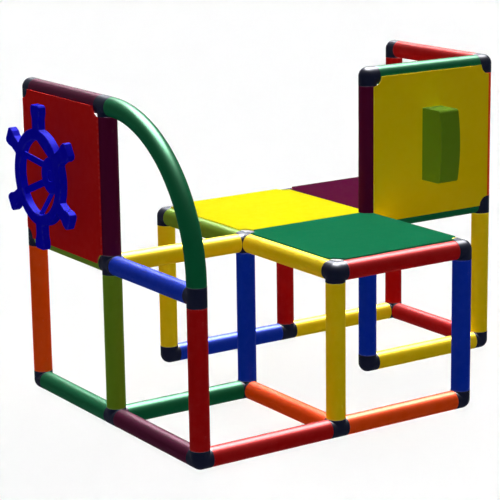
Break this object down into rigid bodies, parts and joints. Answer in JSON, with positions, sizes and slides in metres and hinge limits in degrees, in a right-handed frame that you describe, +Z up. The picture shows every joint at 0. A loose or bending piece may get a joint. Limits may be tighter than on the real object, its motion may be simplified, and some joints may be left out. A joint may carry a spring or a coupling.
{
  "type": "play tower",
  "caption": "Play tower of coloured plug-together tubes with square platforms, a curved tube, two wall panels, a turning ship's wheel and a play block.",
  "frame": {"origin": "on the floor, under the middle of the object's box", "axes": "+X along the long side, from the ship's wheel towards the rear platform; +Y from the front platform's open edge towards the back; +Z up"},
  "size_m": [1.323, 0.85, 0.85],
  "materials": {
    "red": "bright red tubes and helm panel",
    "orange": "orange tubes",
    "yellow": "yellow tubes and panels",
    "green": "deep green tubes and platform",
    "apple_green": "apple-green tubes and block",
    "blue": "royal blue tubes",
    "maroon": "maroon tubes and platform",
    "wheel_blue": "deep blue wheel",
    "navy": "near-black blue connectors",
    "grey": "grey fixing strip"
  },
  "bodies": {
    "root": {"arc_tube": "green", "base_rail_00_to_01": "maroon", "base_rail_00_to_10": "red", "base_rail_01_to_02": "green", "base_rail_01_to_11": "green", "base_rail_10_to_11": "orange", "base_rail_10_to_20": "orange", "base_rail_12_to_22": "blue", "base_rail_21_to_31": "yellow", "base_rail_22_to_32": "yellow", "base_rail_31_to_32": "red", "block_fixing_strip": "grey", "block_panel": "yellow", "connector_0_0": "navy", "connector_1_0": "navy", "connector_1_1": "navy", "connector_1_2": "navy", "connector_2_0": "navy", "connector_2_2": "navy", "helm_panel": "red", "leg_0_0": "red", "leg_0_1": "apple_green", "leg_0_2": "orange", "leg_1_0": "yellow", "leg_1_1": "blue", "leg_1_2": "yellow", "leg_2_0": "blue", "leg_2_1": "blue", "leg_2_2": "red", "leg_3_1": "yellow", "leg_3_2": "red", "platform_front": "green", "platform_middle": "yellow", "platform_rail_00_to_01": "blue", "platform_rail_01_to_02": "apple_green", "platform_rail_01_to_11": "yellow", "platform_rail_10_to_11": "yellow", "platform_rail_10_to_20": "red", "platform_rail_11_to_12": "apple_green", "platform_rail_11_to_21": "green", "platform_rail_12_to_22": "blue", "platform_rail_20_to_21": "yellow", "platform_rail_21_to_22": "blue", "platform_rail_21_to_31": "green", "platform_rail_22_to_32": "red", "platform_rail_31_to_32": "orange", "platform_rear": "maroon", "play_block": "apple_green", "top_rail_01_to_02": "maroon", "top_rail_21_to_31": "green", "top_rail_31_to_32": "red", "upright_0_1": "maroon", "upright_0_2": "red", "upright_2_1": "maroon", "upright_3_1": "orange", "upright_3_2": "red", "wheel_axle_bolt": "wheel_blue", "wheel_lock_nut": "navy", "wheel_spacer": "navy"},
    "wheel": {"steering_wheel": "wheel_blue"}
  },
  "joints": [
    {"name": "wheel_spin", "type": "hinge", "parent": "root", "child": "wheel", "pos_m": [-0.6435, 0.2, 0.625], "axis": [1, 0, 0], "continuous": true}
  ]
}
